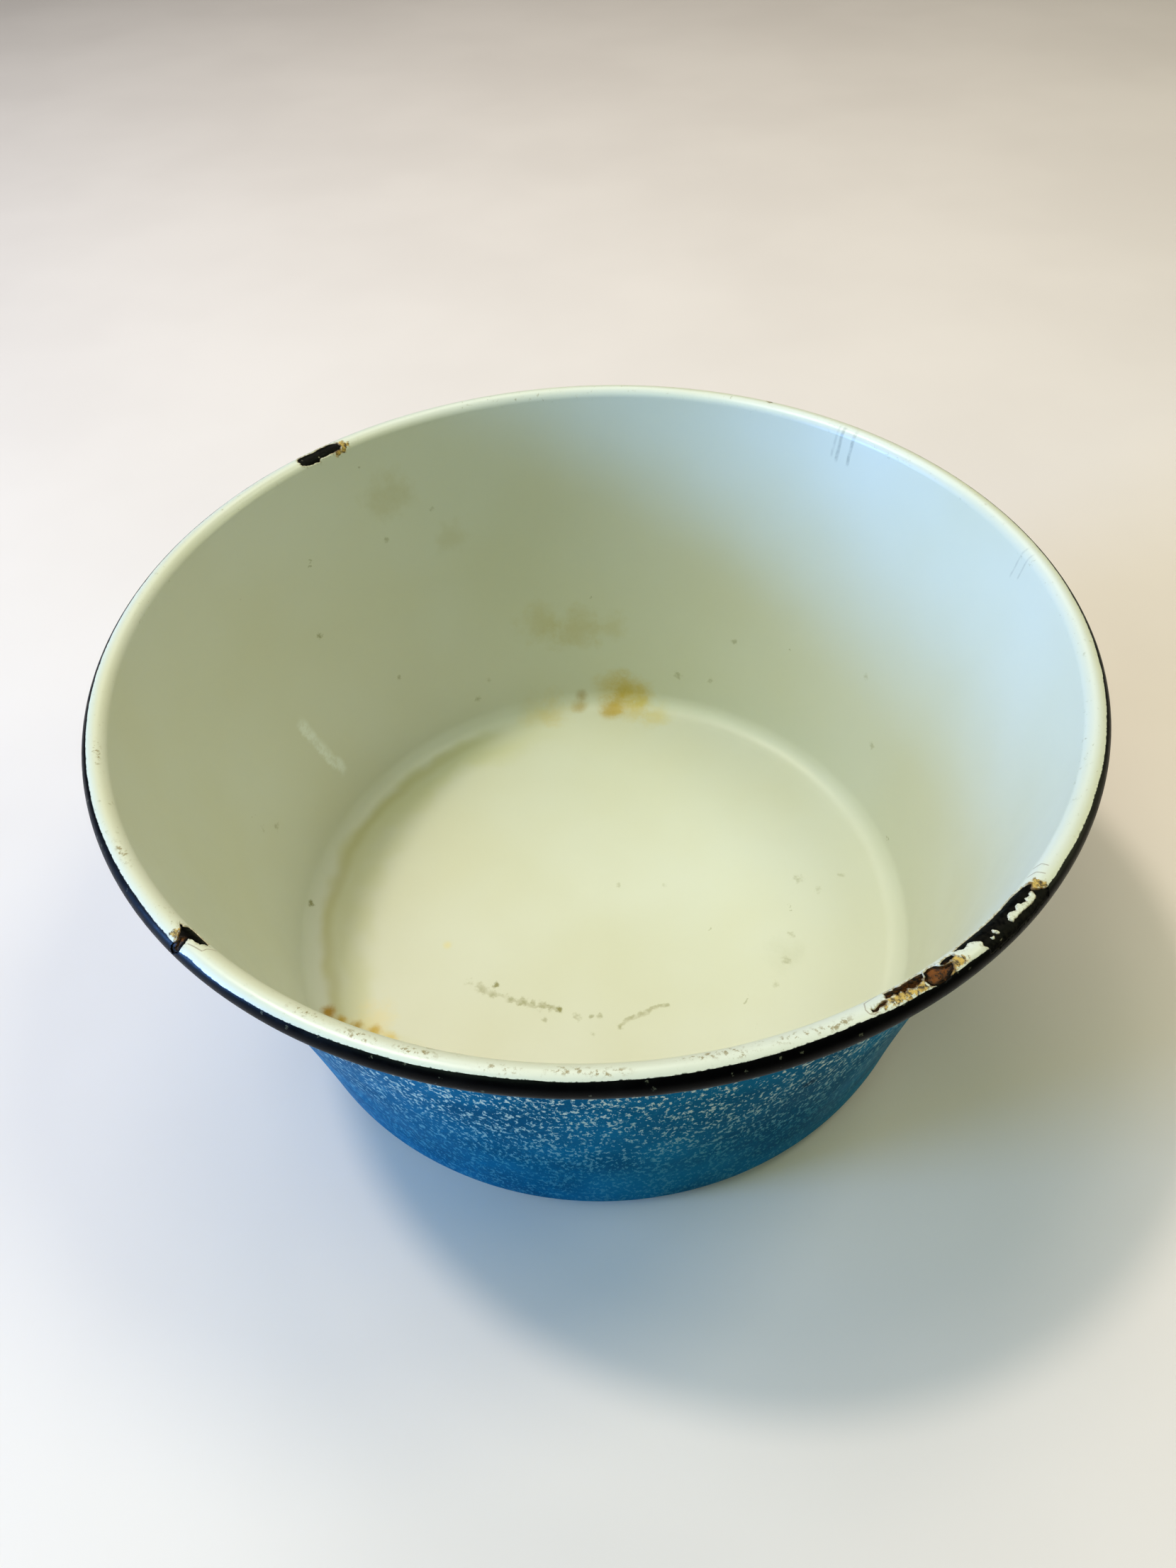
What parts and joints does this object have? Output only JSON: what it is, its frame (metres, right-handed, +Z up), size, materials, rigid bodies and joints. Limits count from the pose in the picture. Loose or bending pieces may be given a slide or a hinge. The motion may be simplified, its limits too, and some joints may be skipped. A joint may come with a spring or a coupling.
{
  "type": "enamel basin",
  "caption": "Deep round enamelled steel basin with flared wall, flat base and rolled rim, white inside, flecked blue outside, for washing or mixing.",
  "frame": {"origin": "centre of the flat base, on the surface that the basin stands on", "axes": "+Z up along the basin's axis; the front of the picture's view is at -Y"},
  "size_m": [0.26, 0.26, 0.126],
  "materials": {
    "bare_steel": "pressed sheet, rusted where it is bare",
    "wire_steel": "drawn wire",
    "ground_enamel": "fired ground coat, semi-gloss",
    "white_enamel": "fired gloss enamel, worn and stained",
    "blue_enamel": "fired gloss enamel with pale flecks",
    "black_enamel": "fired gloss enamel"
  },
  "bodies": {
    "root": {"steel_body": "bare_steel", "rim_wire": "wire_steel", "inner_ground_coat": "ground_enamel", "outer_ground_coat": "ground_enamel", "interior_enamel": "white_enamel", "exterior_enamel": "blue_enamel", "rim_band": "black_enamel"}
  },
  "joints": []
}
